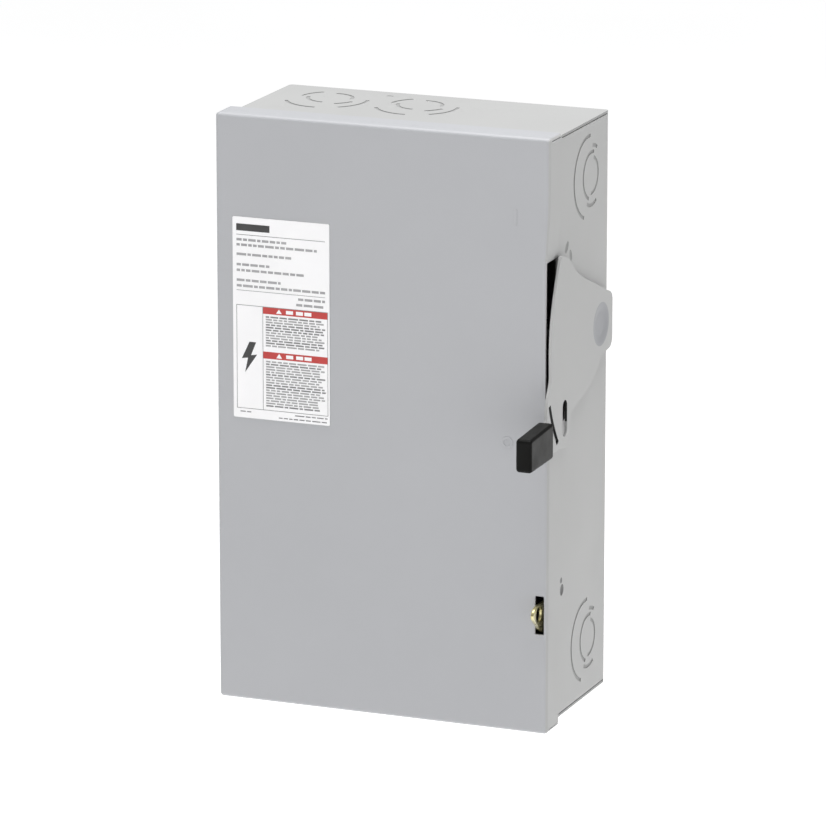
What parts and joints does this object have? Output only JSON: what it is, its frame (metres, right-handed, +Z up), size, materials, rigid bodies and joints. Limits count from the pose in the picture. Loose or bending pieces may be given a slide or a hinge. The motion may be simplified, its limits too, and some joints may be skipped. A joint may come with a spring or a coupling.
{
  "type": "disconnect switch box",
  "caption": "Wall-mounted sheet-steel AC disconnect box with a hinged cover, an external side lever, a padlock hasp, conduit knockouts and a fusible knife switch inside.",
  "frame": {"origin": "middle of the flat back face that goes against the wall", "axes": "+X to the right of a person facing the cover (the lever side), +Y into the wall, +Z up"},
  "size_m": [0.2265, 0.156, 0.366],
  "materials": {
    "enclosure_paint": "smooth semi-gloss grey baked paint",
    "label_stock": "satin printed film",
    "yellow_zinc": "yellow chromated zinc plating",
    "bare_steel": "clear zinc plating",
    "grip_plastic": "satin moulded black",
    "moulded_insulator": "matte moulded thermoset",
    "rotor_moulding": "matte moulded thermoset",
    "copper": "bare copper, lightly tarnished",
    "lug_aluminium": "tin-plated aluminium"
  },
  "bodies": {
    "case": {"back_panel": "enclosure_paint", "side_wall_left": "enclosure_paint", "side_wall_right": "enclosure_paint", "end_cap_top": "enclosure_paint", "end_cap_bottom": "enclosure_paint", "padlock_hasp": "yellow_zinc", "shaft_bushing": "yellow_zinc", "mechanism_bracket": "yellow_zinc", "hinge_leaf_upper": "bare_steel", "hinge_leaf_lower": "bare_steel", "hinge_pin_upper": "bare_steel", "hinge_pin_lower": "bare_steel", "operating_spring": "bare_steel", "line_screw_left": "bare_steel", "line_screw_right": "bare_steel", "load_screw_left": "bare_steel", "load_screw_right": "bare_steel", "switch_base_screw_left": "bare_steel", "switch_base_screw_right": "bare_steel", "fuse_base_screw_left": "bare_steel", "fuse_base_screw_right": "bare_steel", "neutral_screw_upper": "bare_steel", "neutral_screw_lower": "bare_steel", "ground_screw": "bare_steel", "switch_base": "moulded_insulator", "fuse_base": "moulded_insulator", "neutral_insulator": "moulded_insulator", "line_jaw_left": "copper", "line_jaw_right": "copper", "load_jaw_left": "copper", "load_jaw_right": "copper", "fuse_clip_upper_left": "copper", "fuse_clip_upper_right": "copper", "fuse_clip_lower_left": "copper", "fuse_clip_lower_right": "copper", "line_lug_left": "lug_aluminium", "line_lug_right": "lug_aluminium", "load_lug_left": "lug_aluminium", "load_lug_right": "lug_aluminium", "neutral_bar": "lug_aluminium", "ground_lug": "lug_aluminium"},
    "cover": {"cover": "enclosure_paint", "cover_label": "label_stock", "cover_knuckle_upper": "bare_steel", "cover_knuckle_lower": "bare_steel"},
    "handle": {"handle_lever": "enclosure_paint", "handle_grip": "grip_plastic", "handle_shaft": "bare_steel", "drive_crank": "bare_steel"},
    "link": {"drive_link": "bare_steel"},
    "rotor": {"rotor_bar": "rotor_moulding", "rotor_arm": "bare_steel", "blade_left": "copper", "blade_right": "copper"}
  },
  "joints": [
    {"name": "cover_hinge", "type": "hinge", "parent": "case", "child": "cover", "pos_m": [-0.1086, -0.0852, 0], "axis": [0, 0, -1], "range_deg": [0, 120]},
    {"name": "handle_turn", "type": "hinge", "parent": "case", "child": "handle", "pos_m": [0.095, -0.025, 0.053], "axis": [-1, 0, 0], "range_deg": [0, 55]},
    {"name": "link_pivot", "type": "hinge", "parent": "handle", "child": "link", "pos_m": [0.081, -0.0195, 0.0424], "axis": [-1, 0, 0], "range_deg": [-55, 0]},
    {"name": "rotor_turn", "type": "hinge", "parent": "case", "child": "rotor", "pos_m": [0.086, -0.055, 0.053], "axis": [-1, 0, 0], "range_deg": [0, 55]}
  ],
  "couplings": [
    {"joint": "link_pivot", "follows": "handle_turn", "ratio": -1},
    {"joint": "rotor_turn", "follows": "handle_turn", "ratio": 1}
  ]
}
